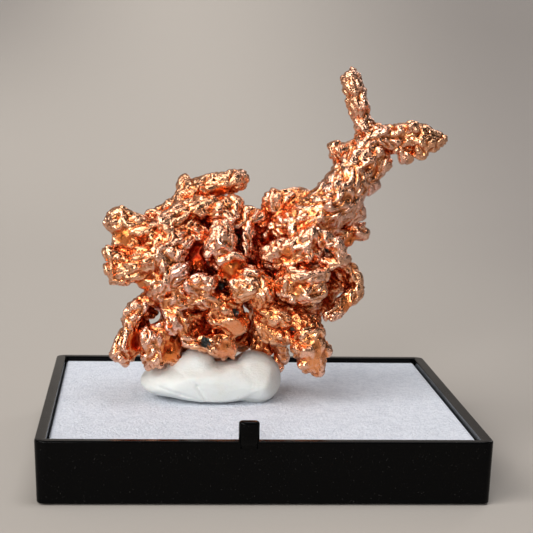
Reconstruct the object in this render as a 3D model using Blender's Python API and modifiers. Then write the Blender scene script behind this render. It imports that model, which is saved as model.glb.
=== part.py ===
"""A native copper nugget pressed into a lump of white putty, on the foam pad of a small display box base.

Run it with: blender --background --python part.py
The origin is the middle of the box's underside, +Z is up, and the box's latch peg is on the -Y side.
"""

import math
import random

import bmesh
import bpy
from mathutils import Matrix, Vector, noise

MM = 0.001  # the tables below are in millimetres, the scene is in metres

# Driving dimensions, in millimetres.
BOX_SIDE = 32.0
BOX_HEIGHT = 4.5
BOX_WALL = 0.8
BOX_FLOOR = 0.9
BOX_DRAFT = 0.18  # how much narrower each side is at the bottom
BOX_CORNER = 0.5

PEG_X = -1.2
PEG_WIDTH = 1.45
PEG_DEPTH = 0.8
PEG_RISE = 1.4  # above the rim

FIT_GAP = 0.3  # between pieces that touch
FOAM_BELOW_RIM = 0.35
FOAM_TOP = BOX_HEIGHT - FOAM_BELOW_RIM

NUGGET_VOXEL = 0.17
NUGGET_TRIANGLES = 7400
PUTTY_VOXEL = 0.2
PUTTY_TRIANGLES = 1300

KNOB_SEED = 41
KNOBS_PER_BEAD = 2

# The nugget's limbs. Each is a chain of beads: x, y, z and radius, from the root of the limb to its tip.
LIMBS = {
    "stem": [(2.8, -0.5, 17.6, 1.75), (4.5, -1.0, 18.5, 1.8), (6.0, -1.0, 19.7, 1.75),
             (7.1, -0.5, 21.3, 1.6), (8.2, 0.0, 23.1, 1.5), (8.9, 0.0, 24.6, 1.0)],
    "finger": [(8.35, 0.0, 25.2, 0.6), (8.0, 0.0, 26.4, 0.64), (7.6, 0.0, 27.7, 0.7), (7.2, 0.0, 28.95, 0.76)],
    "finger_knob": [(8.1, 0.0, 27.1, 0.4)],
    "beak": [(9.2, 0.0, 24.75, 1.0), (10.5, 0.0, 24.7, 0.95), (12.0, 0.0, 24.9, 0.98),
             (13.2, 0.0, 24.6, 0.78), (14.2, 0.0, 24.6, 0.42), (14.6, 0.0, 24.75, 0.22)],
    "beak_lobe_root": [(10.6, -0.2, 24.5, 0.6), (10.6, -0.2, 24.1, 0.5)],
    "beak_lobe_middle": [(11.6, 0.0, 24.4, 0.5), (11.5, 0.0, 23.2, 0.5)],
    "beak_lobe_outer": [(12.8, 0.0, 24.8, 0.55), (12.75, -0.1, 23.75, 0.58)],
    "beak_lobe_tip": [(13.7, 0.0, 24.5, 0.4), (13.65, 0.0, 24.0, 0.4)],
    "stem_lobe_high": [(8.8, 0.0, 23.8, 0.85), (9.55, -0.1, 22.95, 0.85), (9.3, 0.0, 22.3, 0.7)],
    "stem_lobe_middle": [(8.0, 0.0, 21.6, 0.85), (8.65, -0.2, 21.15, 0.82)],
    "stem_lobe_low": [(7.3, 0.2, 19.8, 0.85), (8.0, 0.2, 18.95, 0.6), (7.2, 0.2, 18.5, 0.65)],
    "stem_knob": [(7.2, 0.0, 23.5, 0.5), (6.3, 0.0, 23.6, 0.72)],
    "crest": [(1.5, 0.0, 19.5, 1.05), (2.4, 0.0, 19.7, 0.95), (3.8, 0.0, 19.8, 0.7)],
    "side_arm": [(5.8, 0.5, 17.1, 0.8), (7.1, 0.5, 17.15, 0.68), (8.3, 0.5, 17.3, 0.62)],
    "side_arm_keel": [(6.2, 0.2, 16.4, 0.55), (7.3, 0.3, 16.5, 0.4)],
    "brow": [(0.8, -2.4, 15.75, 0.6), (1.95, -2.8, 16.2, 0.65), (2.9, -3.0, 16.5, 0.65), (3.7, -3.0, 17.0, 0.75),
             (4.1, -3.2, 17.45, 0.62)],
    "brow_hook": [(4.9, -3.3, 17.1, 0.5), (5.75, -3.3, 16.8, 0.48), (6.35, -3.2, 16.2, 0.46),
                  (6.3, -3.1, 15.5, 0.42), (5.6, -3.0, 15.2, 0.48), (5.1, -2.9, 15.2, 0.42)],
    "brow_under": [(1.9, -2.6, 15.3, 0.65), (3.0, -2.9, 15.7, 0.7), (4.1, -2.9, 16.1, 0.65), (4.2, -2.5, 15.4, 0.5)],
    "cup": [(2.4, -3.0, 13.6, 1.1), (3.4, -3.0, 13.5, 1.15), (4.3, -2.9, 13.4, 0.95)],
    "cup_lip": [(2.5, -3.6, 14.6, 0.4), (3.1, -3.9, 14.4, 0.4), (4.0, -4.0, 14.35, 0.38), (4.8, -3.8, 14.6, 0.36),
                (5.1, -3.5, 14.3, 0.36)],
    "cup_ledges": [(3.8, -3.8, 13.5, 0.34), (4.8, -3.6, 13.6, 0.34), (5.0, -3.4, 13.1, 0.34), (4.1, -3.7, 12.85, 0.36),
                   (3.2, -3.7, 12.75, 0.36)],
    "ring": [(6.4, -0.6, 15.4, 0.5), (7.1, -0.1, 14.9, 0.42), (7.75, 0.2, 13.9, 0.55), (8.0, 0.3, 13.1, 0.58),
             (7.95, 0.2, 12.5, 0.6), (7.3, 0.0, 11.9, 0.58), (6.5, -0.4, 11.3, 0.52), (5.8, -0.9, 10.9, 0.45)],
    "ring_twigs": [(7.4, 0.7, 12.7, 0.32), (6.9, 0.5, 13.3, 0.3), (6.7, 0.5, 14.0, 0.32), (6.5, 0.3, 14.7, 0.34)],
    "ring_back": [(4.6, 1.6, 12.6, 1.3), (5.8, 2.3, 13.0, 1.25), (6.9, 2.2, 13.3, 0.95), (6.3, 1.8, 14.8, 0.95)],
    "ring_back_low": [(4.8, 1.3, 11.4, 1.0), (5.8, 1.6, 11.8, 0.85)],
    "tusk": [(3.9, -1.8, 10.3, 1.0), (4.15, -2.1, 9.6, 1.15), (4.2, -2.2, 8.75, 1.3), (4.35, -2.2, 7.9, 1.15),
             (4.6, -2.2, 7.35, 0.82), (4.77, -2.2, 6.9, 0.5)],
    "tusk_spur": [(3.6, -2.0, 8.8, 0.5), (3.1, -2.0, 8.5, 0.35)],
    "chin": [(0.6, -1.5, 11.85, 0.8), (1.3, -1.7, 11.15, 0.95), (2.5, -1.7, 10.85, 0.9), (3.5, -1.7, 10.6, 0.85)],
    "chin_low": [(0.4, -1.5, 10.5, 0.6), (0.9, -1.4, 9.5, 0.6), (1.9, -1.5, 9.5, 0.8), (2.8, -1.5, 9.5, 0.7)],
    "nose": [(-1.2, -3.0, 13.3, 1.0), (-0.5, -3.0, 13.9, 1.05), (0.2, -2.9, 13.4, 1.05), (0.4, -2.6, 12.6, 0.8)],
    "cheek": [(-3.1, -2.4, 16.4, 0.95), (-2.5, -2.5, 16.8, 1.0), (-2.7, -2.4, 17.4, 0.95)],
    "cheek_wing": [(-3.5, -2.2, 16.0, 0.6), (-3.4, -2.2, 15.3, 0.4)],
    "scoop_edge": [(-3.0, -2.9, 14.9, 0.24), (-2.5, -3.2, 15.5, 0.24), (-1.8, -3.3, 15.75, 0.24),
                   (-1.1, -3.1, 15.6, 0.24)],
    "scoop": [(-2.3, -2.2, 14.7, 0.9), (-1.6, -2.2, 14.95, 0.85)],
    "boss": [(-4.6, -2.6, 13.3, 0.75), (-3.8, -2.8, 13.6, 0.7)],
    "top_arm": [(-8.0, 0.6, 18.3, 0.5), (-6.9, 0.7, 18.5, 0.62), (-5.5, 0.8, 19.6, 0.85), (-3.95, 0.8, 20.5, 0.88),
                (-2.55, 0.8, 20.9, 0.82), (-1.4, 0.8, 21.2, 0.8)],
    "top_peg": [(-5.5, 1.2, 19.9, 0.6), (-5.4, 1.4, 20.85, 0.5)],
    "top_fill": [(-6.0, -0.5, 18.2, 1.05), (-4.5, -0.5, 19.0, 1.0), (-3.2, -0.6, 18.9, 0.9), (-1.6, -0.8, 18.3, 0.7)],
    "top_lump": [(-2.5, -0.4, 19.6, 0.46), (-1.5, -0.4, 19.5, 0.46)],
    "saddle": [(-1.2, -0.4, 18.5, 0.6), (-0.5, -0.4, 18.5, 0.65), (0.3, -0.3, 18.4, 0.65)],
    "left_arm": [(-5.8, -0.8, 17.3, 1.2), (-7.0, -1.0, 17.1, 1.15), (-8.4, -1.0, 17.2, 1.1),
                 (-9.6, -0.8, 17.6, 1.1), (-10.4, -0.8, 18.1, 0.95)],
    "left_spikes": [(-10.9, -0.8, 17.6, 0.5), (-11.4, -0.8, 17.9, 0.24)],
    "left_prong": [(-8.2, -1.0, 16.5, 1.0), (-9.3, -1.0, 16.4, 0.9), (-10.3, -1.0, 16.6, 0.72)],
    "low_arm": [(-5.7, -1.6, 16.8, 1.05), (-6.7, -2.0, 15.8, 1.3), (-8.0, -2.0, 15.1, 1.2),
                (-9.4, -1.8, 14.6, 1.0), (-10.2, -1.6, 13.9, 0.65)],
    "low_prong_high": [(-9.8, -1.6, 15.0, 0.7), (-10.6, -1.6, 15.3, 0.5), (-11.35, -1.6, 15.75, 0.36)],
    "low_prong_middle": [(-10.2, -1.6, 14.5, 0.6), (-11.1, -1.6, 14.4, 0.46)],
    "low_prong_under": [(-10.5, -1.5, 14.0, 0.5), (-10.95, -1.5, 13.55, 0.33)],
    "flank": [(-6.2, -2.3, 14.5, 1.2), (-7.2, -2.1, 13.6, 1.15), (-8.3, -1.8, 13.5, 0.75)],
    "flank_low": [(-6.1, -2.1, 13.1, 0.95), (-7.5, -1.8, 12.6, 0.8)],
    "belly": [(-6.6, -2.0, 12.3, 0.75), (-5.2, -2.1, 12.3, 0.8), (-3.8, -2.2, 12.3, 0.8), (-2.5, -2.0, 11.9, 0.8),
              (-1.5, -1.7, 11.7, 0.5)],
    "belly_knot": [(-3.1, -1.8, 11.4, 0.6), (-3.1, -2.0, 10.8, 0.55)],
    "leg": [(-8.1, -1.2, 12.0, 0.75), (-8.9, -1.2, 11.5, 0.75), (-9.35, -1.2, 10.7, 0.8),
            (-9.5, -1.2, 9.7, 0.68), (-10.0, -1.2, 8.7, 0.74), (-10.2, -1.2, 7.85, 0.76)],
    "leg_flat": [(-8.9, -0.9, 10.2, 0.6), (-8.95, -0.8, 9.2, 0.65), (-9.2, -0.8, 8.2, 0.65)],
    "leg_twig": [(-8.6, -1.2, 11.2, 0.5), (-7.85, -1.0, 10.95, 0.4)],
    "foot_chunk": [(-7.2, -1.7, 9.5, 0.7), (-8.0, -2.0, 9.2, 0.85), (-7.9, -1.9, 8.3, 0.85), (-7.95, -1.7, 7.5, 0.55)],
    "foot_inner": [(-7.2, -1.2, 8.9, 0.6), (-6.5, -0.9, 8.6, 0.7), (-6.5, -1.0, 7.9, 0.75), (-7.2, -1.3, 7.8, 0.6)],
    "foot_sole": [(-8.0, -1.8, 7.1, 0.35), (-7.3, -1.7, 7.2, 0.35)],
    "foot_spur": [(-7.9, -1.6, 7.4, 0.4), (-8.1, -1.6, 6.95, 0.25)],
    "foot_root": [(-6.6, 0.2, 9.3, 0.75), (-6.0, 0.6, 10.6, 0.9), (-5.6, 0.7, 12.0, 1.2)],
    "droplet": [(-6.6, -2.0, 11.4, 0.55), (-6.4, -2.3, 10.8, 0.62), (-6.2, -2.4, 10.3, 0.68)],
    "elbow": [(-5.6, -2.3, 10.5, 0.42), (-5.5, -2.3, 9.8, 0.36), (-5.4, -2.3, 9.0, 0.36), (-4.7, -2.2, 8.9, 0.36)],
    "stub": [(-2.4, -1.0, 8.4, 1.0), (-3.1, -1.5, 8.6, 0.8), (-3.8, -2.0, 8.9, 0.66)],
    "knot": [(-2.1, -1.8, 11.3, 0.6), (-1.9, -1.8, 10.6, 0.85), (-1.5, -1.7, 10.3, 0.9), (-1.3, -1.5, 10.7, 0.75)],
    "bridge": [(-0.6, -1.0, 18.0, 0.42), (-0.7, -1.3, 17.2, 0.42), (-0.75, -1.4, 16.3, 0.42), (-0.5, -1.2, 15.4, 0.5)],
    "pocket_knob_low": [(0.8, 0.4, 16.8, 0.5), (0.85, -0.6, 17.0, 0.28)],
    "pocket_knob_high": [(1.7, 0.2, 17.4, 0.5), (1.5, -0.8, 17.5, 0.3)],
    "brow_root": [(2.6, -1.4, 17.0, 0.9), (3.6, -2.0, 16.6, 0.9)],
    "neck_knob": [(-4.35, -1.4, 17.1, 0.7), (-4.9, -1.3, 17.6, 0.6)],
    # ridges along the left side, all rising to the right
    "rib_high": [(-9.8, -1.6, 17.0, 0.38), (-8.4, -1.9, 17.5, 0.38), (-7.2, -1.8, 18.1, 0.38), (-6.0, -1.2, 19.1, 0.38)],
    "rib_middle": [(-8.8, -1.9, 15.9, 0.36), (-7.6, -2.1, 16.8, 0.4), (-6.6, -2.0, 17.8, 0.4), (-5.5, -1.5, 18.8, 0.4)],
    "rib_low": [(-8.4, -3.0, 15.2, 0.36), (-7.2, -3.0, 16.0, 0.4), (-6.3, -2.4, 17.0, 0.38)],
    "rib_lowest": [(-7.0, -3.2, 14.8, 0.34), (-6.2, -3.0, 15.7, 0.36), (-5.7, -2.4, 16.4, 0.34)],
    # inside and behind
    "core_left": [(-6.6, 0.5, 15.8, 2.2), (-4.4, 0.7, 15.2, 2.5), (-2.0, 0.9, 14.8, 2.5)],
    "core_right": [(0.4, 1.0, 14.6, 2.4), (2.4, 0.8, 14.8, 2.4), (4.4, 0.6, 15.4, 2.0)],
    "core_low": [(-5.4, 0.4, 12.4, 1.8), (-3.4, 0.5, 11.8, 1.8), (-1.2, 1.4, 13.2, 1.5), (1.8, 0.6, 11.9, 1.6),
                 (3.8, 0.6, 11.4, 1.5)],
    "core_high": [(-5.5, 0.6, 17.8, 1.6), (-3.0, 0.8, 18.1, 1.5), (-0.6, 1.2, 17.2, 1.3), (3.0, 0.7, 17.6, 1.7)],
    "under_left": [(-7.3, 0.0, 13.5, 1.3), (-6.8, 0.0, 12.2, 1.2), (-6.0, 0.2, 10.9, 0.9)],
    "leg_web": [(-8.7, 0.3, 11.5, 0.55), (-8.9, 0.2, 10.7, 0.55), (-8.6, 0.0, 9.9, 0.5)],
    "under_middle": [(-5.2, -0.6, 11.4, 1.1), (-4.8, -0.5, 10.2, 1.0), (-4.2, -0.4, 9.2, 0.9)],
    "under_right": [(-3.2, -0.7, 11.4, 1.1), (-2.9, -0.6, 10.2, 1.0), (-2.6, -0.6, 9.2, 0.9)],
    "back_left": [(-7.0, 2.5, 16.0, 1.2), (-8.5, 3.4, 16.6, 0.9), (-9.5, 3.9, 17.4, 0.65)],
    "back_high": [(-3.0, 3.2, 17.0, 1.3), (-3.2, 4.4, 18.6, 0.9), (-2.9, 4.9, 19.9, 0.65)],
    "back_crown": [(1.0, 3.3, 16.0, 1.4), (1.6, 4.6, 17.3, 0.9), (2.3, 5.0, 18.3, 0.6)],
    "back_right": [(4.3, 2.8, 14.6, 1.3), (5.8, 3.8, 15.3, 0.85), (6.9, 4.1, 15.9, 0.6)],
    "back_haunch": [(-5.0, 3.2, 13.2, 1.5), (-6.2, 4.4, 12.9, 0.95), (-7.2, 4.9, 12.4, 0.65)],
    "back_middle": [(-1.0, 3.8, 13.4, 1.5), (-0.8, 5.2, 12.6, 0.9), (-1.2, 5.7, 11.6, 0.6)],
    "back_low": [(2.8, 3.0, 12.0, 1.3), (3.9, 4.1, 11.0, 0.9), (4.3, 4.5, 9.8, 0.65)],
    # feet pressed into the putty
    "foot_left": [(-6.4, 0.6, 9.6, 0.85), (-6.4, 0.6, 8.4, 0.75), (-6.6, 0.6, 7.3, 0.6)],
    "foot_web": [(-4.6, 0.6, 9.4, 0.8), (-5.3, 1.2, 8.6, 0.8), (-6.2, 0.9, 8.2, 0.7)],
    "foot_middle": [(-3.2, 1.2, 10.4, 1.1), (-3.2, 1.3, 8.6, 0.95), (-3.0, 1.3, 7.2, 0.75)],
    "foot_right": [(1.0, 1.6, 10.4, 1.0), (0.8, 1.9, 8.8, 0.85), (0.7, 1.9, 7.3, 0.7)],
    "foot_back": [(0.9, 2.6, 10.4, 0.9), (0.1, 3.0, 8.8, 0.75), (-0.8, 2.8, 8.2, 0.75), (-2.0, 2.2, 8.6, 0.75)],
    "foot_strip": [(1.9, 0.6, 9.0, 0.6), (2.2, 1.3, 7.9, 0.5), (2.25, 1.5, 7.0, 0.42), (2.1, 1.5, 6.2, 0.3)],
}

# The putty: overlapping pats, each x, y, z of its middle and its three half sizes.
PUTTY_PATS = [
    (-3.3, 0.2, 5.5, 4.9, 4.1, 1.5),
    (-6.5, 0.0, 5.6, 2.3, 2.7, 1.2),
    (-5.0, -0.1, 6.5, 1.6, 2.1, 1.25),
    (-4.3, -0.3, 6.95, 1.3, 1.8, 1.25),
    (0.2, 0.7, 5.9, 2.15, 3.1, 2.0),
]
PUTTY_FOOT_Z = FOAM_TOP + FIT_GAP


def clear_scene():
    for obj in list(bpy.data.objects):
        bpy.data.objects.remove(obj)


def new_collection(name):
    collection = bpy.data.collections.new(name)
    bpy.context.scene.collection.children.link(collection)
    return collection


def material(name, color, roughness, metallic=0.0):
    made = bpy.data.materials.new(name)
    made.use_nodes = True
    shader = made.node_tree.nodes["Principled BSDF"]
    shader.inputs["Base Color"].default_value = (*color, 1.0)
    shader.inputs["Roughness"].default_value = roughness
    shader.inputs["Metallic"].default_value = metallic
    made.diffuse_color = (*color, 1.0)
    return made


def object_from_bmesh(name, bm, collection, look=None):
    mesh = bpy.data.meshes.new(name)
    bm.to_mesh(mesh)
    bm.free()
    obj = bpy.data.objects.new(name, mesh)
    if look:
        mesh.materials.append(look)
    collection.objects.link(obj)
    return obj


def as_cutter(obj):
    obj.hide_render = True
    obj.display_type = "WIRE"
    return obj


def apply_modifiers(obj):
    """Replaces the object's mesh by what its modifiers make of it."""
    bpy.context.view_layer.update()
    evaluated = obj.evaluated_get(bpy.context.evaluated_depsgraph_get())
    made = bpy.data.meshes.new_from_object(evaluated)
    obj.modifiers.clear()
    obj.data = made


def keep_largest_shell(mesh):
    """Drops every closed surface but the biggest: the sealed voids between beads fill up."""
    bm = bmesh.new()
    bm.from_mesh(mesh)
    unseen = set(bm.verts)
    shells = []
    while unseen:
        front = [unseen.pop()]
        shell = set(front)
        while front:
            vert = front.pop()
            for edge in vert.link_edges:
                other = edge.other_vert(vert)
                if other in unseen:
                    unseen.discard(other)
                    shell.add(other)
                    front.append(other)
        shells.append(shell)
    shells.sort(key=len)
    doomed = [vert for shell in shells[:-1] for vert in shell]
    bmesh.ops.delete(bm, geom=doomed, context="VERTS")
    bm.to_mesh(mesh)
    bm.free()


def voxel_union(obj, voxel_mm):
    """Fuses every closed shape in the object into one skin."""
    remesh = obj.modifiers.new("union", "REMESH")
    remesh.mode = "VOXEL"
    remesh.voxel_size = voxel_mm * MM
    apply_modifiers(obj)
    keep_largest_shell(obj.data)


def decimate_to(obj, triangles):
    bm = bmesh.new()
    bm.from_mesh(obj.data)
    bmesh.ops.triangulate(bm, faces=bm.faces)
    now = len(bm.faces)
    bm.to_mesh(obj.data)
    bm.free()
    thin = obj.modifiers.new("thin", "DECIMATE")
    thin.ratio = min(1.0, triangles / now)
    apply_modifiers(obj)


def add_bead(bm, center, radius, detail=2):
    place = Matrix.Translation(Vector(center) * MM) @ Matrix.Diagonal((*(Vector(radius) * MM), 1.0))
    bmesh.ops.create_icosphere(bm, subdivisions=detail, radius=1.0, matrix=place)


def add_to(whole, bm):
    """Adds a small mesh to a big one. Primitives are made in small meshes because big ones make them slow."""
    mesh = bpy.data.meshes.new("piece")
    bm.to_mesh(mesh)
    bm.free()
    whole.from_mesh(mesh)
    bpy.data.meshes.remove(mesh)


def beads_along(chain):
    """The limb's own beads, and those between them, close enough together to look like one rod."""
    beads = []
    for (*start, r0), (*end, r1) in zip(chain, chain[1:]):
        start, end = Vector(start), Vector(end)
        steps = max(1, math.ceil((end - start).length / (0.45 * min(r0, r1))))
        for i in range(steps):
            t = i / steps
            beads.append((start.lerp(end, t), r0 + (r1 - r0) * t))
    *last, radius = chain[-1]
    beads.append((Vector(last), radius))
    return beads


def limb_shape(chain, rng):
    """One limb: its beads, with small knobs scattered over them."""
    bm = bmesh.new()
    for center, radius in beads_along(chain):
        add_bead(bm, center, (radius,) * 3)
        for _ in range(KNOBS_PER_BEAD if radius < 1.3 else 2 * KNOBS_PER_BEAD):
            away = Vector((rng.gauss(0, 1), rng.gauss(0, 1), rng.gauss(0, 1))).normalized()
            size = rng.uniform(0.2, 0.55) * min(radius, 1.1)
            add_bead(bm, center + away * radius * 0.93, (size,) * 3, detail=1)
    return bm


def hackle(obj):
    """Roughens the skin: lumps about a millimetre across, as on metal that grew in a cramped vein."""
    normals = [vert.normal.copy() for vert in obj.data.vertices]
    for vert, normal in zip(obj.data.vertices, normals):
        lumps = noise.fractal(vert.co / MM * 1.1, 0.8, 2.1, 2)
        vert.co += normal * lumps * 0.12 * MM


def build_nugget(collection):
    copper = material("native_copper", (0.90, 0.37, 0.17), 0.25, 1.0)
    rng = random.Random(KNOB_SEED)
    bm = bmesh.new()
    for chain in LIMBS.values():
        add_to(bm, limb_shape(chain, rng))
    nugget = object_from_bmesh("copper_nugget", bm, collection, copper)
    voxel_union(nugget, NUGGET_VOXEL)
    hackle(nugget)
    decimate_to(nugget, NUGGET_TRIANGLES)
    return nugget


def swollen_copy(obj, name, swell, collection):
    """A copy of the object with its skin pushed outwards, as a cutter that leaves a gap around the original."""
    bm = bmesh.new()
    bm.from_mesh(obj.data)
    bm.normal_update()
    for vert, normal in [(vert, vert.normal.copy()) for vert in bm.verts]:
        vert.co += normal * swell * MM
    copy = object_from_bmesh(name, bm, collection)
    voxel_union(copy, NUGGET_VOXEL)
    decimate_to(copy, 2 * NUGGET_TRIANGLES)
    return as_cutter(copy)


def build_putty(nugget, collection, cutters):
    white = material("white_putty", (0.86, 0.85, 0.81), 0.75)
    bm = bmesh.new()
    for x, y, z, rx, ry, rz in PUTTY_PATS:
        add_bead(bm, (x, y, z), (rx, ry, rz), detail=3)
    putty = object_from_bmesh("mounting_putty", bm, collection, white)
    voxel_union(putty, PUTTY_VOXEL)

    below = bmesh.new()
    depth = 5.0
    shape = Matrix.Diagonal((BOX_SIDE * MM, BOX_SIDE * MM, depth * MM, 1.0))
    place = Matrix.Translation((0, 0, (PUTTY_FOOT_Z - depth / 2) * MM))
    bmesh.ops.create_cube(below, size=1.0, matrix=place @ shape)
    table = as_cutter(object_from_bmesh("table_cutter", below, cutters))
    print_of_nugget = swollen_copy(nugget, "nugget_print", FIT_GAP + 0.04, cutters)

    for cutter in (print_of_nugget, table):
        cut = putty.modifiers.new(cutter.name, "BOOLEAN")
        cut.operation = "DIFFERENCE"
        cut.object = cutter
    apply_modifiers(putty)
    keep_largest_shell(putty.data)
    decimate_to(putty, PUTTY_TRIANGLES)
    return putty


def round_upright_edges(bm, radius, segments):
    upright = [e for e in bm.edges if abs((e.verts[0].co - e.verts[1].co).normalized().z) > 0.9]
    bmesh.ops.bevel(bm, geom=upright, offset=radius * MM, segments=segments, profile=0.5, affect="EDGES")


def rounded_block(name, size, middle, collection, look=None, corner=0.5, draft=0.0):
    bm = bmesh.new()
    bmesh.ops.create_cube(bm, size=1.0)
    bmesh.ops.scale(bm, vec=Vector(size) * MM, verts=bm.verts)
    for vert in bm.verts:
        if vert.co.z < 0:
            vert.co.x -= math.copysign(draft * MM, vert.co.x)
            vert.co.y -= math.copysign(draft * MM, vert.co.y)
    round_upright_edges(bm, corner, 4)
    bmesh.ops.translate(bm, vec=Vector(middle) * MM, verts=bm.verts)
    return object_from_bmesh(name, bm, collection, look)


def build_box_base(collection, cutters):
    black = material("black_plastic", (0.012, 0.012, 0.013), 0.35)
    base = rounded_block("box_base", (BOX_SIDE, BOX_SIDE, BOX_HEIGHT), (0, 0, BOX_HEIGHT / 2), collection, black,
                         BOX_CORNER, BOX_DRAFT)
    inside = BOX_SIDE - 2 * BOX_WALL
    depth = BOX_HEIGHT - BOX_FLOOR
    well = as_cutter(rounded_block("well_cutter", (inside, inside, 2 * depth), (0, 0, BOX_HEIGHT), cutters,
                                   corner=BOX_CORNER / 2))
    peg_height = PEG_RISE + 1.0
    peg = as_cutter(rounded_block("peg_shape", (PEG_WIDTH, PEG_DEPTH, peg_height),
                                  (PEG_X, -BOX_SIDE / 2 + PEG_DEPTH / 2, BOX_HEIGHT + PEG_RISE - peg_height / 2),
                                  cutters, corner=0.3))
    for cutter, operation in ((well, "DIFFERENCE"), (peg, "UNION")):
        step = base.modifiers.new(cutter.name, "BOOLEAN")
        step.operation = operation
        step.object = cutter
    return base


def build_foam(collection):
    white = material("white_foam", (0.80, 0.82, 0.88), 0.95)
    side = BOX_SIDE - 2 * BOX_WALL - 2 * FIT_GAP
    low = BOX_FLOOR + FIT_GAP
    return rounded_block("foam_pad", (side, side, FOAM_TOP - low), (0, 0, (FOAM_TOP + low) / 2), collection, white,
                         corner=BOX_CORNER / 2)


def main():
    clear_scene()
    parts = new_collection("mounted_copper_nugget")
    cutters = new_collection("cutters")
    nugget = build_nugget(parts)
    build_putty(nugget, parts, cutters)
    build_box_base(parts, cutters)
    build_foam(parts)


main()
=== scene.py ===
import bisect
import itertools
import math
import random

import bmesh
import bpy
import numpy as np
from mathutils import Matrix, Vector, noise
from mathutils.bvhtree import BVHTree
from mathutils.kdtree import KDTree


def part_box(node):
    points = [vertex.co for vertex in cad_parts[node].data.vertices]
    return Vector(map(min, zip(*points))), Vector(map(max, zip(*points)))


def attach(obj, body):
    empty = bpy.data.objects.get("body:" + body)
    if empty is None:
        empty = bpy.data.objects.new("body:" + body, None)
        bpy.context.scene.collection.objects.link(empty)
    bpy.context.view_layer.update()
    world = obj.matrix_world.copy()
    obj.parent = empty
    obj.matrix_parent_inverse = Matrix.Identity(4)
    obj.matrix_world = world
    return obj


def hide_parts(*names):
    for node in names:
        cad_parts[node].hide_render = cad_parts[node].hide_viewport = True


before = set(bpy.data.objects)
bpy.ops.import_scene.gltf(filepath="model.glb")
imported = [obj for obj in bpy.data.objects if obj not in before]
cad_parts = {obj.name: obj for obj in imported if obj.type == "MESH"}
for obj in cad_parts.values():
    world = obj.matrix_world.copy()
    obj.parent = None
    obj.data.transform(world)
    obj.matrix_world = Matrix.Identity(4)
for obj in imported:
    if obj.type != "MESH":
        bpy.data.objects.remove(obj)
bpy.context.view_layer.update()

mm = 0.001  # sizes below are in millimetres, the scene is in metres
hair = 1e-6  # metres: points closer than this count as level


# small helpers for meshes

def objectFrom(name, bm, look=None):
    mesh = bpy.data.meshes.new(name)
    bm.to_mesh(mesh)
    bm.free()
    made = bpy.data.objects.new(name, mesh)
    bpy.context.scene.collection.objects.link(made)
    if look:
        mesh.materials.append(look)
    return made


def withModifier(piece, kind, **settings):
    # adds a modifier, then keeps what it makes as the piece's own mesh
    added = piece.modifiers.new(kind.lower(), kind)
    for name, value in settings.items():
        setattr(added, name, value)
    bpy.context.view_layer.update()
    evaluated = piece.evaluated_get(bpy.context.evaluated_depsgraph_get())
    finished = bpy.data.meshes.new_from_object(evaluated)
    piece.modifiers.clear()
    piece.data = finished


def poured(whole, bm):
    # moves a small bmesh into a big one: operators are slow on big meshes
    mesh = bpy.data.meshes.new("poured")
    bm.to_mesh(mesh)
    bm.free()
    whole.from_mesh(mesh)
    bpy.data.meshes.remove(mesh)


def upright(bm):
    # the edges that stand upright
    return [e for e in bm.edges if abs((e.verts[0].co - e.verts[1].co).normalized().z) > 0.95]


def topRim(bm, z):
    # the edges that lie at the top
    return [e for e in bm.edges if all(v.co.z > z - hair for v in e.verts)]


def bevelled(bm, edges, width, segments):
    bmesh.ops.bevel(bm, geom=edges, offset=width * mm, segments=segments, profile=0.5,
                    affect="EDGES", material=-1)


def inOrder(bm):
    # bevels leave their faces in a new order each time, so they are sorted by their first corners
    bm.verts.index_update()
    count = len(bm.verts)

    def rank(face):
        a, b, c = sorted(vert.index for vert in face.verts)[:3]
        return (a * count + b) * count + c
    bm.faces.sort(key=rank)
    return bm


def extruded(bm, edges):
    # grows a row of edges by one step: the new row, and its vertices
    grown = bmesh.ops.extrude_edge_only(bm, edges=edges)["geom"]
    verts = {g for g in grown if isinstance(g, bmesh.types.BMVert)}
    edges = [g for g in grown if isinstance(g, bmesh.types.BMEdge)]
    return [e for e in edges if all(v in verts for v in e.verts)], verts


def largestShell(mesh):
    # drops loose flakes and sealed bubbles, so one closed skin is left
    bm = bmesh.new()
    bm.from_mesh(mesh)
    unseen = set(bm.verts)
    shells = []
    while unseen:
        front = [unseen.pop()]
        shell = list(front)
        while front:
            vert = front.pop()
            for edge in vert.link_edges:
                other = edge.other_vert(vert)
                if other in unseen:
                    unseen.discard(other)
                    shell.append(other)
                    front.append(other)
        shells.append(shell)
    shells.sort(key=len)
    spare = [vert for shell in shells[:-1] for vert in shell]
    bmesh.ops.delete(bm, geom=spare, context="VERTS")
    bm.to_mesh(mesh)
    bm.free()


def pointsOf(mesh):
    flat = np.empty(len(mesh.vertices) * 3)
    mesh.vertices.foreach_get("co", flat)
    return flat.reshape(-1, 3)


def normalsOf(mesh):
    flat = np.empty(len(mesh.vertices) * 3, np.float32)
    mesh.vertices.foreach_get("normal", flat)
    return flat.reshape(-1, 3).astype(float)


def setPoints(mesh, points):
    mesh.vertices.foreach_set("co", points.astype(np.float32).ravel())
    mesh.update()


def neighbourMean(mesh):
    # a function that replaces each vertex's values by the mean of its neighbours'
    flat = np.empty(len(mesh.edges) * 2, np.int32)
    mesh.edges.foreach_get("vertices", flat)
    a, b = flat.reshape(-1, 2).T
    ends = np.concatenate([a, b])
    others = np.concatenate([b, a])
    count = len(mesh.vertices)
    degree = np.maximum(np.bincount(ends, minlength=count), 1)

    def mean(values):
        columns = values.reshape(count, -1)
        sums = [np.bincount(ends, weights=column[others], minlength=count) for column in columns.T]
        return (np.stack(sums, 1) / degree[:, None]).reshape(values.shape)
    return mean


def softened(values, mean, rounds):
    for _ in range(rounds):
        values = 0.5 * values + 0.5 * mean(values)
    return values


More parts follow.
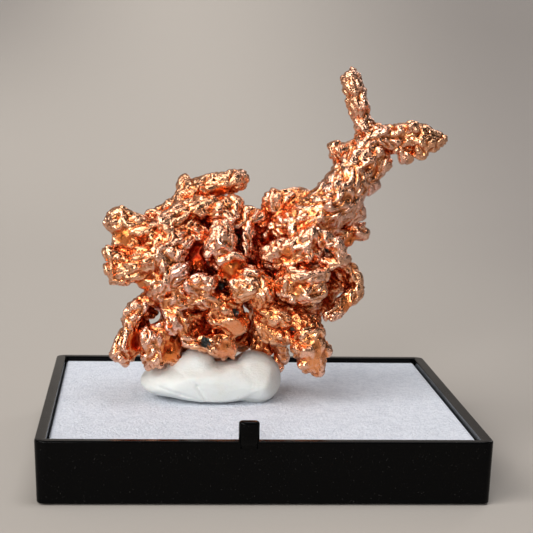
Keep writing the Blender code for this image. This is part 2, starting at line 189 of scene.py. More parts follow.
def setMask(mesh, name, values):
    made = mesh.attributes.new(name, "FLOAT", "POINT")
    made.data.foreach_set("value", np.clip(values, 0, 1).astype(np.float32))


def smoothstep(low, high, value):
    t = np.clip((value - low) / (high - low), 0, 1)
    return t * t * (3 - 2 * t)


# small helpers for materials

class Wire:
    # one output socket of a material's nodes, which can be used in sums
    def __init__(self, look, socket):
        self.look = look
        self.socket = socket

    def maths(self, operation, first, second):
        made = self.look.tree.nodes.new("ShaderNodeMath")
        made.operation = operation
        for socket, value in zip(made.inputs, (first, second)):
            self.look.join(socket, value)
        return Wire(self.look, made.outputs[0])

    def __add__(self, other):
        return self.maths("ADD", self, other)

    def __sub__(self, other):
        return self.maths("SUBTRACT", self, other)

    def __rsub__(self, other):
        return self.maths("SUBTRACT", other, self)

    def __mul__(self, other):
        return self.maths("MULTIPLY", self, other)

    __radd__ = __add__
    __rmul__ = __mul__


class Look:
    # one material, and the nodes that feed its Principled shader
    def __init__(self, name, **fixed):
        self.material = bpy.data.materials.new(name)
        self.material.use_nodes = True
        self.tree = self.material.node_tree
        self.shader = self.tree.nodes["Principled BSDF"]
        for label, value in fixed.items():
            self.shader.inputs[label.replace("_", " ")].default_value = value

    def join(self, socket, value):
        if isinstance(value, Wire):
            self.tree.links.new(value.socket, socket)
        else:
            socket.default_value = value

    def node(self, kind, settings=None, sockets=None, output=0):
        made = self.tree.nodes.new(kind)
        for name, value in (settings or {}).items():
            setattr(made, name, value)
        for name, value in (sockets or {}).items():
            self.join(made.inputs[name], value)
        return Wire(self, made.outputs[output])

    def place(self, stretch=(1, 1, 1), turn=(0, 0, 0)):
        # where on the piece, in millimetres, optionally turned and stretched
        spot = self.node("ShaderNodeTexCoord", output="Object")
        return self.node("ShaderNodeMapping", {}, {
            "Vector": spot, "Rotation": turn, "Scale": [s / mm for s in stretch]})

    def along(self, axis):
        return self.node("ShaderNodeSeparateXYZ", {}, {"Vector": self.place()}, axis)

    def clouds(self, place, scale, detail=2.0, rough=0.5, warp=0.0):
        return self.node("ShaderNodeTexNoise", {}, {
            "Vector": place, "Scale": scale, "Detail": detail, "Roughness": rough, "Distortion": warp})

    def cells(self, place, scale, output="Distance"):
        return self.node("ShaderNodeTexVoronoi", {"feature": "F1"}, {
            "Vector": place, "Scale": scale}, output)

    def vectors(self, operation, first, second, output=0):
        return self.node("ShaderNodeVectorMath", {"operation": operation}, {
            0: first, 1: second}, output)

    def plates(self, place, scale):
        # a patchwork of small facets, each tilted its own way: the height at a place
        middle = self.cells(place, scale, "Position")
        color = Wire(self, middle.socket.node.outputs["Color"])
        tilt = self.vectors("SUBTRACT", color, (0.5, 0.5, 0.5))
        return self.vectors("DOT_PRODUCT", self.vectors("SUBTRACT", place, middle), tilt, "Value")

    def mask(self, name):
        return self.node("ShaderNodeAttribute", {"attribute_name": name}, output="Fac")

    def span(self, value, low, high, newLow=0.0, newHigh=1.0):
        return self.node("ShaderNodeMapRange", {"interpolation_type": "SMOOTHSTEP"}, {
            "Value": value, "From Min": low, "From Max": high, "To Min": newLow, "To Max": newHigh})

    def blended(self, amount, first, second):
        # a Mix node's sockets 0, 6 and 7 are its factor and two colours, and output 2 its colour
        return self.node("ShaderNodeMix", {"data_type": "RGBA"}, {0: amount, 6: first, 7: second}, 2)

    def bump(self, height, distance, strength):
        return self.node("ShaderNodeBump", {}, {
            "Height": height, "Distance": distance * mm, "Strength": strength})

    def feed(self, label, value):
        self.join(self.shader.inputs[label], value)


def rgb(red, green, blue):
    return (red, green, blue, 1.0)


# the camera, looking a little down on the front of the box (millimetres and degrees)

cameraSettings = {
    "spot": (-8.70, -130.93, 32.18),
    "yaw": 4.2025,
    "pitch": -7.6478,
    "roll": 1.153,
    "lens": 115.33,
    "sensor": 36.0,
    "near": 5,
    "far": 10000,
}


def makeCamera(settings):
    yaw, pitch, roll = (math.radians(settings[name]) for name in ("yaw", "pitch", "roll"))
    flat = math.cos(pitch)
    ahead = Vector((math.sin(yaw) * flat, math.cos(yaw) * flat, math.sin(pitch)))
    level = Vector((math.cos(yaw), -math.sin(yaw), 0))
    across = level.cross(ahead)
    right = level * math.cos(roll) + across * math.sin(roll)
    up = across * math.cos(roll) - level * math.sin(roll)
    camera = bpy.data.objects.new("camera", bpy.data.cameras.new("camera"))
    camera.data.lens = settings["lens"]
    camera.data.sensor_width = settings["sensor"]
    camera.data.clip_start = settings["near"] * mm
    camera.data.clip_end = settings["far"] * mm
    place = Matrix((right, up, -ahead)).transposed().to_4x4()
    place.translation = Vector(settings["spot"]) * mm
    camera.matrix_world = place
    bpy.context.scene.collection.objects.link(camera)
    bpy.context.scene.camera = camera


makeCamera(cameraSettings)
print("camera set")


# the copper nugget: the frame's solid, grown over with small knobs, crinkled and pitted

nuggetSettings = {
    "seed": 7,
    "weld": 0.002,
    "knobs": 380,  # squashed balls: how big, then how deep and how high beside that
    "knobSize": (0.18, 0.42),
    "knobDepth": (0.7, 1.0),
    "knobHeight": (0.55, 0.9),
    "knobSink": 0.25,
    "batch": 40,
    "voxel": 0.1,
    "smoothing": 2,
    # pillows that meet in creases, drawn out along each limb: how wide, how far they swell, how long
    "pillows": [(0.95, 0.18, 1.0), (0.5, 0.16, 1.4), (0.3, 0.04, 1.4)],
    "pillowMean": 0.4,
    "pillowSwirl": 0.22,
    "swirlScale": 0.9,
    "layerShift": (3.1, 7.7, 1.3),
    "axisSpread": 60,
    "pitEvery": 2.6,
    "pitWidth": 0.3,
    "pitDepth": 0.3,
    "pitShape": 0.7,
    "grainPit": 0.3,
    "triangles": 196000,
    # the masks: rounds of softening, how strongly each shows, and the rays that look for the sky
    "fineRounds": 6,
    "wideRounds": 40,
    "ridgeGain": 14,
    "knobGain": 4,
    "hollowRounds": 12,
    "rays": 56,
    "rayReach": 4.5,
    "rayLift": 0.05,
    # clean faces with hardly any crinkle: x, y, z, reach, and how orange they are
    "calm": [(-1.9, -3.0, 14.9, 1.0, 1.0), (4.6, -3.4, 8.1, 1.5, 0.1), (-6.4, -1.8, 8.2, 1.0, 1.0),
             (-2.2, -1.9, 8.2, 0.9, 0.5), (-9.1, -1.6, 8.9, 0.75, 0.9), (-4.3, -1.4, 15.9, 1.2, 0.7),
             (-10.2, -1.8, 17.0, 0.7, 0.9), (-2.8, 0.2, 20.0, 0.9, 0.9), (7.6, -0.1, 16.3, 0.9, 0.9),
             (2.2, -3.3, 16.2, 0.5, 0.9), (-8.6, -2.2, 13.2, 0.7, 0.7), (-1.4, -2.5, 10.3, 0.9, 0.6),
             (7.2, -0.5, 11.7, 0.7, 0.7), (8.6, -0.6, 22.4, 0.8, 0.5), (3.3, -4.0, 13.3, 0.8, 0.1)],
    "calmShare": 0.25,
    "calmFade": (0.6, 1.2),
    # dark mineral grains in the pits: as seen from the front, x and z, and reach
    "grains": [(-1.25, 16.6, 0.5), (-2.65, 13.0, 0.45), (-3.7, 8.55, 0.5), (-1.4, 10.9, 0.42),
               (5.6, 15.9, 0.3), (3.1, 9.6, 0.3), (-7.2, 13.6, 0.2)],
    "grainFade": (0.55, 1.15),
}


def weldedCopy(node, settings):
    # a copy of one of the frame's solids with its loose triangles joined
    bm = bmesh.new()
    bm.from_mesh(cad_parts[node].data)
    bmesh.ops.remove_doubles(bm, verts=bm.verts, dist=settings["weld"] * mm)
    return bm


def knobBatch(spots, settings, rng):
    # a few dozen small knobs, each a squashed ball sunk part-way into the metal
    bm = bmesh.new()
    for spot, normal, size in spots:
        depth, height = rng.uniform(*settings["knobDepth"]), rng.uniform(*settings["knobHeight"])
        facing = normal.to_track_quat("Z", "X").to_matrix().to_4x4()
        turn = Matrix.Rotation(rng.uniform(0, 6.28), 4, "Z")
        sunk = Matrix.Translation(spot - normal * size * settings["knobSink"])
        shape = Vector((1, depth, height)) * size
        place = sunk @ (facing @ turn) @ Matrix.Diagonal((*shape, 1))
        bmesh.ops.create_icosphere(bm, subdivisions=2, radius=1.0, matrix=place)
    return bm


def scatterKnobs(bm, settings, rng):
    # knobs spread evenly over the skin, by face area; faces and corners are put in order by place
    bmesh.ops.triangulate(bm, faces=bm.faces)
    bm.normal_update()
    faces = sorted(bm.faces, key=lambda face: tuple(face.calc_center_median()))
    reach = list(itertools.accumulate(face.calc_area() for face in faces))
    spots = []
    for _ in range(settings["knobs"]):
        spot = rng.uniform(0, reach[-1] * 0.999999)  # a hair short of the end, so there is a face
        face = faces[bisect.bisect(reach, spot)]
        a, b, c = sorted((vert.co.copy() for vert in face.verts), key=tuple)
        u, v = sorted((rng.random(), rng.random()))
        spot = a * u + b * (v - u) + c * (1 - v)
        low, high = settings["knobSize"]
        size = (low + (high - low) * rng.random() ** 2) * mm
        spots.append((spot, face.normal.copy(), size))
    step = settings["batch"]
    for start in range(0, len(spots), step):
        poured(bm, knobBatch(spots[start:start + step], settings, rng))


def cleanFaces(points, settings):
    # how clean the metal is at each point, and how orange
    clean, orange = np.zeros(len(points)), np.zeros(len(points))
    for x, y, z, reach, tint in settings["calm"]:
        away = np.linalg.norm(points - np.array((x, y, z)), axis=1)
        near = 1 - smoothstep(*settings["calmFade"], away / reach)
        clean = np.maximum(clean, near)
        orange = np.maximum(orange, near * tint)
    return clean, orange


def limbAxes(mesh, settings):
    # the way each limb runs at every vertex: the direction its skin's normals point away from
    normals = normalsOf(mesh)
    spread = (normals[:, :, None] * normals[:, None, :]).reshape(-1, 9)
    spread = softened(spread, neighbourMean(mesh), settings["axisSpread"])
    return np.linalg.eigh(spread.reshape(-1, 3, 3))[1][:, :, 0]


def pillow(spot, axis, width, length):
    # 0 in a crease, 1 on top: the creases are where a noise, averaged along the limb, crosses zero,
    # and the two scalings bring the tops of most pillows up to 1
    steps = [length * (i / 3 - 1) * 0.5 for i in range(7)]
    drawn = sum(noise.noise(spot / width + axis * step) for step in steps) / (1.7 + 0.9 * length)
    return min(1, abs(drawn) * 2.2)


def grainSpots(piece, settings):
    # where the mineral grains sit on the skin, found from the front
    tree = BVHTree.FromObject(piece, bpy.context.evaluated_depsgraph_get())
    eye = Vector(cameraSettings["spot"]) * mm
    spots = []
    for x, z, reach in settings["grains"]:
        hit = tree.ray_cast(eye, (Vector((x, 0, z)) * mm - eye).normalized())[0]
        if hit:
            spots.append((np.array(hit), reach * mm))
    return spots


def grainShare(points, grains, settings):
    # 1 in the middle of a mineral grain, fading to 0 round it
    share = np.zeros(len(points))
    for spot, reach in grains:
        away = np.linalg.norm(points - spot, axis=1)
        share = np.maximum(share, 1 - smoothstep(*settings["grainFade"], away / reach))
    return share


def crinkled(piece, grains, settings):
    # pushes the skin out into pillows with creases between them, and in at the pits
    mesh = piece.data
    points, normals = pointsOf(mesh), normalsOf(mesh)
    clean = cleanFaces(points / mm, settings)[0]
    share = 1 - (1 - settings["calmShare"]) * clean
    heights = []
    for place, way in zip(points / mm, limbAxes(mesh, settings)):
        point, axis = Vector(place), Vector(way)
        spot = point + noise.noise_vector(point * settings["swirlScale"]) * settings["pillowSwirl"]
        height = 0
        for width, swell, length in settings["pillows"]:
            height += swell * (pillow(spot, axis, width, length) - settings["pillowMean"])
            spot = spot + Vector(settings["layerShift"])
        pit = noise.voronoi(point / settings["pitEvery"])[0][0] * settings["pitEvery"]
        pitted = max(0, 1 - pit / settings["pitWidth"]) ** settings["pitShape"]
        heights.append(height - settings["pitDepth"] * pitted)
    pits = grainShare(points, grains, settings) * settings["grainPit"]
    heights = np.array(heights) * share - pits
    setPoints(mesh, points + normals * heights[:, None] * mm)


def hollowness(node, settings):
    # how much of the sky each point of the frame's solid doesn't see, as a lookup by place
    bm = weldedCopy(node, settings)
    bm.normal_update()
    tree = BVHTree.FromBMesh(bm)
    rng = random.Random(settings["seed"] + 1)
    rays = [Vector((rng.gauss(0, 1), rng.gauss(0, 1), rng.gauss(0, 1))).normalized()
            for _ in range(settings["rays"])]
    lookup = KDTree(len(bm.verts))
    reach = settings["rayReach"] * mm
    shade = []
    for i, vert in enumerate(bm.verts):
        lookup.insert(vert.co, i)
        start = vert.co + vert.normal * settings["rayLift"] * mm
        facing = [ray if ray.dot(vert.normal) > 0 else -ray for ray in rays]
        hits = sum(tree.ray_cast(start, ray, reach)[0] is not None for ray in facing)
        shade.append(hits / len(rays))
    lookup.balance()
    bm.free()
    return lookup, shade


def paintNugget(piece, grains, settings):
    # masks for the finish: ridges, knobs, clean and orange faces, deep hollows for painted shade and
    # mineral grains
    mesh = piece.data
    points, normals = pointsOf(mesh), normalsOf(mesh)
    mean = neighbourMean(mesh)
    fine = softened(points, mean, settings["fineRounds"])
    wide = softened(fine, mean, settings["wideRounds"])
    ridge = ((points - fine) * normals).sum(1) / mm
    knob = ((fine - wide) * normals).sum(1) / mm
    setMask(mesh, "ridge", 0.5 + ridge * settings["ridgeGain"])
    setMask(mesh, "knob", 0.5 + knob * settings["knobGain"])
    clean, orange = cleanFaces(points / mm, settings)
    setMask(mesh, "clean", clean)
    setMask(mesh, "orange", orange)
    lookup, shade = hollowness("copper_nugget", settings)
    deepShade = np.array([shade[lookup.find(point)[1]] for point in points])
    setMask(mesh, "hollowShade", softened(deepShade, mean, settings["hollowRounds"]))
    setMask(mesh, "grain", grainShare(points, grains, settings))


copperSettings = {
    "ridge": rgb(0.93, 0.515, 0.35),
    "pink": rgb(0.93, 0.54, 0.42),
    "gold": rgb(0.93, 0.485, 0.28),
    "body": rgb(0.90, 0.33, 0.12),
    "orange": rgb(0.84, 0.21, 0.04),
    # painted shade: red in the hollows, dark red at their bottoms (depth) and brown in the creases
    "hollowShade": rgb(0.60, 0.085, 0.016),
    "depth": rgb(0.25, 0.009, 0.003),
    "creaseShade": rgb(0.32, 0.065, 0.022),
    "grain": rgb(0.006, 0.010, 0.008),
    "grainFleck": rgb(0.06, 0.08, 0.065),
    # how fine each pattern is: the higher, the finer
    "tintScale": 0.13,
    "patchScale": 0.22,
    "wearScale": 1.4,
    "wrinkleScale": 1.5,
    "plateScale": 1.5,
    "flakeScale": 3.2,
    "speckScale": 5.0,
    # painted shade on the foot of the nugget, which gets less light: the heights where it starts and
    # ends brightening
    "footShadeLow": 10,
    "footShadeHigh": 17,
    "lineWidth": 0.028,
    "polish": (0.13, 0.24),
    "bump": 0.38,
}


def copperLook(settings):
    look = Look("native_copper")
    place = look.place()
    ridge, knob, hollowShade = look.mask("ridge"), look.mask("knob"), look.mask("hollowShade")
    clean, orange = look.mask("clean"), look.mask("orange")
    patches = look.clouds(place, settings["patchScale"], 3)
    wrinkles = look.clouds(place, settings["wrinkleScale"], 3, 0.55, 1.4)
    fold = look.node("ShaderNodeMath", {"operation": "ABSOLUTE"}, {0: wrinkles - 0.5})
    specks = look.clouds(place, settings["speckScale"], 3, 0.6)
    flakes = look.cells(place, settings["flakeScale"], "Color")  # one shade for each flake
    grain = look.span(look.mask("grain") + (specks - 0.5) * 0.7 + (flakes - 0.5) * 0.5, 0.42, 0.56)

    # rubbed crests in gold and pink over the body of the metal, kept off the hollows and the foot as
    # painted shade, and a few orange faces
    tint = look.clouds(place, settings["tintScale"], 2)
    crest = look.blended(look.span(tint, 0.42, 0.54), settings["gold"], settings["ridge"])
    crest = look.blended(look.span(tint, 0.55, 0.66), crest, settings["pink"])
    # painted shade on the lower foot of the nugget
    footShade = 1 - look.span(look.along("Z"), settings["footShadeLow"], settings["footShadeHigh"])
    wearAndShade = knob * 0.6 + ridge * 0.4 + (patches - 0.5) * 0.7 - footShade * 0.2 - hollowShade * 0.35
    body = look.blended(look.span(wearAndShade, 0.40, 0.76), settings["body"], crest)
    body = look.blended(orange * look.span(patches, 0.3, 0.6, 0.7, 1.0), body, settings["orange"])

    # painted shade: red in the hollows, as of light bounced inside the copper, dark red at their
    # bottoms, and brown along the creases
    red = hollowShade * 0.8 - (ridge - 0.5) * 0.35 - (knob - 0.5) * 0.5 + (patches - 0.5) * 0.3
    color = look.blended(look.span(red, 0.25, 0.5), body, settings["hollowShade"])
    # painted shade, darkest at the bottoms of the hollows
    deepShade = hollowShade + (0.5 - knob) * 0.4 + (0.5 - ridge) * 0.25
    color = look.blended(look.span(deepShade, 0.56, 0.86), color, settings["depth"])
    # painted shade along the wrinkle folds
    foldShade = (1 - look.span(fold, 0.0, settings["lineWidth"])) * (1 - clean * 0.8)
    foldShade = foldShade * look.span(patches, 0.35, 0.6, 0.3, 0.9)
    color = look.blended(foldShade * 0.6, color, settings["creaseShade"])
    # painted shade in the fine creases
    creaseShade = (1 - look.span(ridge, 0.12, 0.40)) * (1 - clean * 0.5) * 0.65
    color = look.blended(creaseShade, color, settings["creaseShade"])
    mineral = look.blended(look.span(flakes, 0.55, 0.7), settings["grain"], settings["grainFleck"])
    look.feed("Base Color", look.blended(grain, color, mineral))
    look.feed("Metallic", 1 - grain * 0.95)

    wear = look.clouds(place, settings["wearScale"], 4, 0.6)
    polish = look.span(wear, 0.35, 0.7, *settings["polish"])
    look.feed("Roughness", polish + hollowShade * 0.1 + grain * 0.1 + clean * 0.08)
    relief = look.plates(place, settings["plateScale"]) * 0.6 + look.span(fold, 0.0, 0.1) * 0.05
    look.feed("Normal", look.bump(relief * (1 - clean * 0.6), 1.0, settings["bump"]))
    return look.material


def makeNugget(settings):
    rng = random.Random(settings["seed"])
    noise.seed_set(settings["seed"])  # without this, noise_vector starts from the clock
    bm = weldedCopy("copper_nugget", settings)
    scatterKnobs(bm, settings, rng)
    nugget = objectFrom("nugget", bm)
    withModifier(nugget, "REMESH", mode="VOXEL", voxel_size=settings["voxel"] * mm)
    withModifier(nugget, "SMOOTH", factor=0.5, iterations=settings["smoothing"])
    largestShell(nugget.data)
    print("nugget skin:", len(nugget.data.polygons), "faces")
    grains = grainSpots(nugget, settings)
    crinkled(nugget, grains, settings)
    now = len(nugget.data.polygons) * 2
    withModifier(nugget, "TRIANGULATE")
    withModifier(nugget, "DECIMATE", ratio=min(1, settings["triangles"] / now))
    paintNugget(nugget, grains, settings)
    nugget.data.materials.append(copperLook(copperSettings))
    nugget.data.shade_smooth()
    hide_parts("copper_nugget")
    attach(nugget, "root")
    return nugget


nugget = makeNugget(nuggetSettings)
print("nugget made:", len(nugget.data.polygons), "triangles")


# the putty under it: pats of putty pressed together with the fingers

puttySettings = {
    "seed": 3,
    # each pat: its middle and its half sizes
    "pats": [((-3.3, 0.2, 5.5), (4.95, 4.15, 1.55)), ((-6.5, 0.0, 5.6), (2.35, 2.7, 1.25)),
             ((-5.0, -0.1, 6.5), (1.65, 2.1, 1.3)), ((-4.3, -0.3, 6.95), (1.35, 1.8, 1.3)),
             ((0.1, 0.5, 5.7), (2.2, 3.4, 2.1)), ((-1.3, -0.3, 5.7), (2.2, 3.2, 1.5))],
    "voxel": 0.11,
    "smoothing": 6,
    "sink": 0.03,
    "waves": 0.07,
    "waveScale": 0.55,
    # finger presses: broad dents that meet in soft ridges
    "presses": 0.1,
    "pressScale": 0.42,
    "pressSwirl": 0.3,
    "swirlScale": 0.5,
    # creases down the front where the pats fold over each other: from, to (x and z) and depth
    "creases": [((-8.2, 5.7), (-5.6, 5.0), 0.1), ((-5.6, 5.0), (-4.2, 4.5), 0.08),
                ((-6.0, 6.7), (-4.4, 5.7), 0.08), ((-4.4, 5.7), (-3.7, 4.4), 0.12)],
    "creaseWidth": 0.12,
    # flats pressed with a thumb: a point on each, the way it faces, and how much of the bulge stays
    "flats": [((-3.0, -2.95, 5.4), (0.03, -1.0, -0.12), 0.2),
              ((-7.75, -1.8, 5.4), (-0.82, -0.55, 0.1), 0.3),
              ((-7.2, -2.2, 4.75), (-0.45, -0.55, -0.7), 0.4),
              ((-6.2, -1.4, 7.0), (-0.62, -0.3, 0.75), 0.4),
              ((0.6, -1.7, 6.9), (0.2, -0.8, 0.55), 0.3),
              ((1.8, -1.0, 5.8), (0.85, -0.5, 0.1), 0.4)],
    "flatSmoothing": 26,
    # how fine each pattern of the surface is: the higher, the finer
    "patchScale": 0.5,
    "roughScale": 1.2,
    "printScale": 1.3,
    "coarseScale": 1.6,
    "fineScale": 7.0,
    "color": rgb(0.78, 0.805, 0.785),
    "shade": rgb(0.74, 0.745, 0.70),
}


def puttyLook(settings):
    look = Look("white_putty", Specular_IOR_Level=0.3, Subsurface_Weight=0.05,
                Subsurface_Scale=0.0004)
    place = look.place()
    patches = look.span(look.clouds(place, settings["patchScale"], 4, 0.6), 0.4, 0.75)
    look.feed("Base Color", look.blended(patches, settings["color"], settings["shade"]))
    rough = look.clouds(place, settings["roughScale"], 3)
    look.feed("Roughness", look.span(rough, 0.3, 0.7, 0.65, 0.85))
    fine = look.clouds(place, settings["fineScale"], 4, 0.7)
    coarse = look.clouds(place, settings["coarseScale"], 3, 0.5)
    lines = look.place(stretch=(1, 1, 5), turn=(0, 0.5, 0.2))
    prints = look.clouds(lines, settings["printScale"], 2)
    look.feed("Normal", look.bump(fine * 0.9 + coarse * 1.2 + prints * 0.6, 0.07, 0.75))
    return look.material


def kneaded(piece, settings):
    # waves, finger presses and thumb flats
    points, normals = pointsOf(piece.data) / mm, normalsOf(piece.data)
    waves = [noise.fractal(Vector(p) * settings["waveScale"], 1.0, 2.0, 3) for p in points]
    presses = []
    for point in points:
        swirl = noise.noise_vector(Vector(point) * settings["swirlScale"]) * settings["pressSwirl"]
        near = noise.voronoi(Vector(point) * settings["pressScale"] + swirl)[0]
        presses.append(near[1] - near[0])
    lift = np.array(waves) * settings["waves"] - np.array(presses) * settings["presses"]
    points = points + normals * lift[:, None]
    for spot, facing, left in settings["flats"]:
        facing = np.array(Vector(facing).normalized())
        proud = np.maximum((points - np.array(spot)) @ facing, 0)
        points = points - (proud * (1 - left))[:, None] * facing
    setPoints(piece.data, points * mm)
    withModifier(piece, "SMOOTH", factor=0.5, iterations=settings["flatSmoothing"])


def creased(piece, settings):
    # creases down the front, and an underside that sinks a little into the foam
    points = pointsOf(piece.data) / mm
    front, face = points[:, 1] < 0, points[:, [0, 2]]
    for start, end, depth in settings["creases"]:
        a, b = np.array(start), np.array(end)
        along = np.clip(((face - a) @ (b - a)) / ((b - a) @ (b - a)), 0, 1)
        away = np.linalg.norm(face - (a + along[:, None] * (b - a)), axis=1)
        points[:, 1] += front * depth * np.exp(-(away / settings["creaseWidth"]) ** 2)
    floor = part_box("foam_pad")[1].z / mm - settings["sink"]
    points[:, 2] = np.maximum(points[:, 2], floor)
    setPoints(piece.data, points * mm)


def makePutty(settings):
    noise.seed_set(settings["seed"])
    bm = bmesh.new()
    for middle, shape in settings["pats"]:
        size = [half * mm for half in shape]
        place = Matrix.Translation(Vector(middle) * mm) @ Matrix.Diagonal((*size, 1))
        bmesh.ops.create_icosphere(bm, subdivisions=4, radius=1.0, matrix=place)
    putty = objectFrom("putty", bm)
    withModifier(putty, "REMESH", mode="VOXEL", voxel_size=settings["voxel"] * mm)
    withModifier(putty, "SMOOTH", factor=0.5, iterations=settings["smoothing"])
    kneaded(putty, settings)
    creased(putty, settings)
    putty.data.materials.append(puttyLook(settings))
    putty.data.shade_smooth()
    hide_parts("mounting_putty")
    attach(putty, "root")
    return putty


putty = makePutty(puttySettings)
print("putty made:", len(putty.data.polygons), "faces")


# the black box base: a shallow tray with one latch peg on the front rim

traySettings = {
    "side": 32.0,
    "height": 4.5,
    "wall": 0.8,
    "floor": 0.9,
    "draft": 0.18,
    "corner": 0.75,
    "cornerSteps": 8,
    "innerCorner": 0.12,
    "edge": 0.13,
    "pegX": -1.2,
    "pegWidth": 1.45,
    "pegDepth": 0.8,
    "pegRise": 1.4,
    "pegFoot": 0.5,
    "pegRound": 0.36,
    "pegCrown": 0.2,
    "pegProud": 0.1,
    "flatFrom": 8.0,  # square millimetres: smaller faces, on the rounded edges, are shaded smooth
    "color": rgb(0.0015, 0.0015, 0.0016),
    "dust": rgb(0.10, 0.095, 0.09),
    "smearScale": 0.12,
    "waveScale": 0.35,
    "dustScale": 9.0,
}


def trayLook(settings):
    look = Look("black_plastic", Specular_IOR_Level=0.07)
    place = look.place()
    smears = look.clouds(place, settings["smearScale"], 4, 0.6)
    dust = look.span(look.clouds(place, settings["dustScale"], 2, 0.5), 0.69, 0.76)
    look.feed("Base Color", look.blended(dust * 0.35, settings["color"], settings["dust"]))
    look.feed("Roughness", look.span(smears, 0.35, 0.75, 0.10, 0.24) + dust * 0.2)
    look.feed("Normal", look.bump(look.clouds(place, settings["waveScale"], 2), 0.03, 0.25))
    return look.material


def trayProfile(settings):
    # up the outside, over the rim and down into the well: how far in, and how high
    height, wall, edge = settings["height"], settings["wall"], settings["edge"]
    angles = [math.radians(a) for a in (0, 22, 45, 68, 90)]
    turn = [(1 - math.sin(a), 1 - math.cos(a)) for a in angles]
    profile = [(settings["draft"] + edge * u, edge * v) for u, v in turn]
    profile += [(edge * v, height - edge * u) for u, v in turn]
    profile += [(wall - edge * v, height - edge * u) for u, v in reversed(turn)]
    return profile + [(wall, settings["floor"])]


def rimSpot(settings, i, inset, z):
    # point i of a square with rounded corners, drawn in from the outside
    corner, step = divmod(i, settings["cornerSteps"] + 1)
    angle = math.radians(90 * (corner + step / settings["cornerSteps"]))
    radius = max(settings["corner"] - inset, settings["innerCorner"])
    reach = settings["side"] / 2 - inset - radius
    x = reach * (1 if corner in (0, 3) else -1) + radius * math.cos(angle)
    y = reach * (1 if corner < 2 else -1) + radius * math.sin(angle)
    return Vector((x, y, z)) * mm


def trayShape(settings):
    # one loop of edges, grown along the profile and closed at both ends
    profile = trayProfile(settings)
    bm = bmesh.new()
    count = 4 * (settings["cornerSteps"] + 1)
    verts = [bm.verts.new(rimSpot(settings, i, *profile[0])) for i in range(count)]
    loop = [bm.edges.new(pair) for pair in zip(verts, verts[1:] + verts[:1])]
    bmesh.ops.edgeloop_fill(bm, edges=loop)
    for spot in profile[1:]:
        loop, fresh = extruded(bm, loop)
        verts = [next(e.other_vert(v) for e in v.link_edges if e.other_vert(v) in fresh) for v in verts]
        for i, vert in enumerate(verts):
            vert.co = rimSpot(settings, i, *spot)
    bmesh.ops.edgeloop_fill(bm, edges=loop)
    bmesh.ops.recalc_face_normals(bm, faces=bm.faces)
    return bm


def pegShape(settings):
    high = settings["height"] + settings["pegRise"]
    low = settings["height"] - settings["pegFoot"]
    bm = bmesh.new()
    bmesh.ops.create_cube(bm, size=1.0)
    size = Vector((settings["pegWidth"], settings["pegDepth"], high - low))
    bmesh.ops.scale(bm, vec=size * mm, verts=bm.verts)
    y = (settings["pegDepth"] - settings["side"]) / 2 - settings["pegProud"]
    middle = Vector((settings["pegX"], y, (high + low) / 2))
    bmesh.ops.translate(bm, vec=middle * mm, verts=bm.verts)
    bevelled(bm, upright(bm), settings["pegRound"], 5)
    bevelled(bm, topRim(bm, high * mm), settings["pegCrown"], 5)
    bmesh.ops.recalc_face_normals(bm, faces=bm.faces)
    return bm


def makeTray(settings):
    bm = trayShape(settings)
    poured(bm, pegShape(settings))
    for face in bm.faces:
        face.smooth = face.calc_area() < settings["flatFrom"] * mm * mm
    tray = objectFrom("tray", inOrder(bm), trayLook(settings))
    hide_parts("box_base")
    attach(tray, "root")
    return tray


tray = makeTray(traySettings)
print("tray made:", len(tray.data.polygons), "faces")


# the foam pad in the tray

foamSettings = {
    "gap": 0.06,
    "cuts": 120,
    "round": 0.3,
    # the uneven skin: fine lumps, and the broad swell under them
    "grain": 0.02,
    "lumpScale": 1.6,
    "swellScale": 0.15,
    "swellShare": 0.6,
    "mean": 0.6,
    "fibreScale": 3.8,
    "blotchScale": 1.3,
    "poreScale": 3.2,
    "color": rgb(0.86, 0.90, 0.985),
    "shade": rgb(0.66, 0.705, 0.80),
}


def foamLook(settings):
    look = Look("white_foam", Roughness=0.95)
    place = look.place()
    fibres = look.clouds(place, settings["fibreScale"], 5, 0.72, 0.6)
    blotches = look.clouds(place, settings["blotchScale"], 3, 0.6)
    pores = look.cells(place, settings["poreScale"])
    dull = look.span(fibres * 0.8 + blotches * 0.3, 0.42, 0.75)
    look.feed("Base Color", look.blended(dull, settings["color"], settings["shade"]))
    look.feed("Normal", look.bump(fibres + look.span(pores, 0.0, 0.5) * 0.4, 0.2, 0.9))
    return look.material


def makeFoam(settings):
    low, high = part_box("foam_pad")
    inside = traySettings["side"] - 2 * traySettings["wall"] - 2 * settings["gap"]
    size = Vector((inside, inside, (high.z - low.z) / mm))
    bm = bmesh.new()
    bmesh.ops.create_cube(bm, size=1.0)
    bmesh.ops.scale(bm, vec=size * mm, verts=bm.verts)
    bmesh.ops.translate(bm, vec=(0, 0, (high.z + low.z) / 2), verts=bm.verts)
    bevelled(bm, topRim(bm, high.z), settings["round"], 4)
    flat = [face for face in bm.faces if face.normal.z > 0.99]
    top = max(flat, key=lambda face: face.calc_area())
    bmesh.ops.subdivide_edges(bm, edges=list(top.edges), cuts=settings["cuts"], use_grid_fill=True)
    for vert in bm.verts:
        if vert.co.z > high.z - hair:
            lumps = noise.fractal(vert.co / mm * settings["lumpScale"], 0.9, 2.0, 4)
            swell = noise.fractal(vert.co / mm * settings["swellScale"], 1, 2, 2)
            lift = lumps + settings["swellShare"] * swell - settings["mean"]
            vert.co.z += lift * settings["grain"] * mm
    bmesh.ops.triangulate(bm, faces=[face for face in bm.faces if len(face.verts) > 4])
    foam = objectFrom("foam", inOrder(bm), foamLook(settings))
    foam.data.shade_smooth()
    foam.data.set_sharp_from_angle(angle=math.radians(50))
    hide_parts("foam_pad")
    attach(foam, "root")
    return foam


foam = makeFoam(foamSettings)
print("foam made:", len(foam.data.polygons), "faces")


# the studio: a pale sweep, soft light from the left, from above and from the front, and small
# lights at the right, from behind and on the wall (metres and watts)

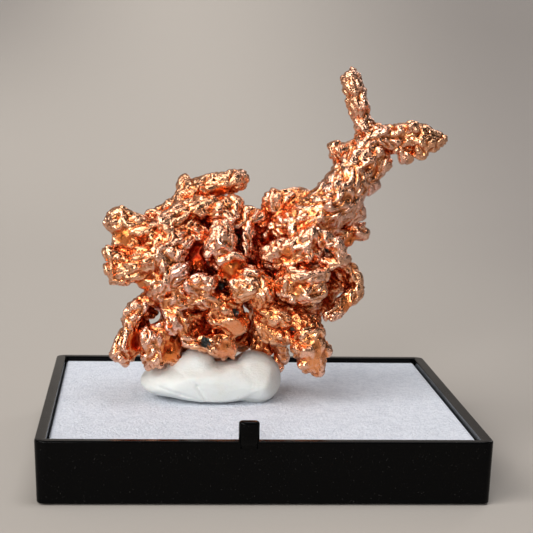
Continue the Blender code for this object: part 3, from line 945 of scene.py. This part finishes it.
studioSettings = {
    "sweepWidth": 7.0,
    "front": -3.5,
    "wallAt": 0.42,
    "wallTop": 1.6,
    "bend": 0.3,
    "bendSteps": 16,
    "drop": 0.0001,  # the floor lies this far under the box
    "pale": rgb(0.47, 0.43, 0.39),
    # painted shade that the sweep fades to on the right and in the upper left corner
    "dimShade": rgb(0.275, 0.25, 0.233),
    "world": rgb(0.62, 0.60, 0.58),
    "worldStrength": 0.08,
    # name, place, aimed at, width, height, power and colour
    "lights": [
        ("key", (-0.80, -0.64, 0.85), (0.0, 0.0, 0.014), 1.0, 0.74, 13.0, (1.0, 0.98, 0.95)),
        ("top", (0.20, -0.08, 1.17), (0.0, 0.0, 0.01), 0.52, 0.52, 4.5, (0.97, 0.98, 1.0)),
        ("fill", (-0.36, -1.20, 0.37), (-0.002, 0.0, 0.012), 0.26, 0.38, 6.2, (1.0, 0.99, 0.97)),
        ("side", (0.96, -0.48, 0.25), (0.0, 0.0, 0.014), 0.12, 0.40, 0.6, (1.0, 0.97, 0.93)),
        ("rim", (0.12, 0.18, 0.12), (0.0, 0.0, 0.014), 0.05, 0.10, 0.05, (1.0, 0.98, 0.96)),
        ("wall", (-0.08, 0.10, 0.42), (-0.06, 0.44, 0.06), 0.30, 0.16, 0.12, (1.0, 0.99, 0.97)),
    ],
}


def sweepLook(settings):
    # painted shade: dimmer to the right, and in the upper left corner
    look = Look("pale_sweep", Roughness=0.9)
    across, height = look.along("X"), look.along("Z")
    corner = look.span(0 - across, 0, 60) * look.span(height, 5, 45) * 1.1
    dimShade = look.span(across, 0, 75) + corner
    look.feed("Base Color", look.blended(dimShade, settings["pale"], settings["dimShade"]))
    return look.material


def makeSweep(settings):
    # floor, bend and wall in one sheet, grown from one edge at the front
    half, floor, bend = settings["sweepWidth"] / 2, -settings["drop"], settings["bend"]
    steps = [(settings["front"], floor)]
    for i in range(settings["bendSteps"] + 1):
        angle = math.radians(90 * i / settings["bendSteps"])
        y = settings["wallAt"] - bend + bend * math.sin(angle)
        steps.append((y, bend * (1 - math.cos(angle)) + floor))
    steps.append((settings["wallAt"], settings["wallTop"]))
    bm = bmesh.new()
    row = [bm.edges.new([bm.verts.new((side * half, *steps[0])) for side in (-1, 1)])]
    for (y0, z0), (y1, z1) in zip(steps, steps[1:]):
        row, verts = extruded(bm, row)
        bmesh.ops.translate(bm, vec=(0, y1 - y0, z1 - z0), verts=list(verts))
    bmesh.ops.recalc_face_normals(bm, faces=bm.faces)
    sweep = objectFrom("sweep", bm, sweepLook(settings))
    sweep.data.shade_smooth()


def makeLights(settings):
    for name, spot, aim, width, height, power, color in settings["lights"]:
        light = bpy.data.lights.new(name, "AREA")
        light.shape = "RECTANGLE"
        light.size, light.size_y = width, height
        light.energy = power
        light.color = color
        holder = bpy.data.objects.new(name, light)
        holder.location = spot
        holder.rotation_euler = (Vector(aim) - Vector(spot)).to_track_quat("-Z", "Y").to_euler()
        bpy.context.scene.collection.objects.link(holder)
    world = bpy.data.worlds.new("studio")
    bpy.context.scene.world = world
    world.use_nodes = True
    back = world.node_tree.nodes["Background"]
    back.inputs["Color"].default_value = settings["world"]
    back.inputs["Strength"].default_value = settings["worldStrength"]


makeSweep(studioSettings)
makeLights(studioSettings)
bpy.context.scene.view_settings.view_transform = "Standard"
print("studio set")
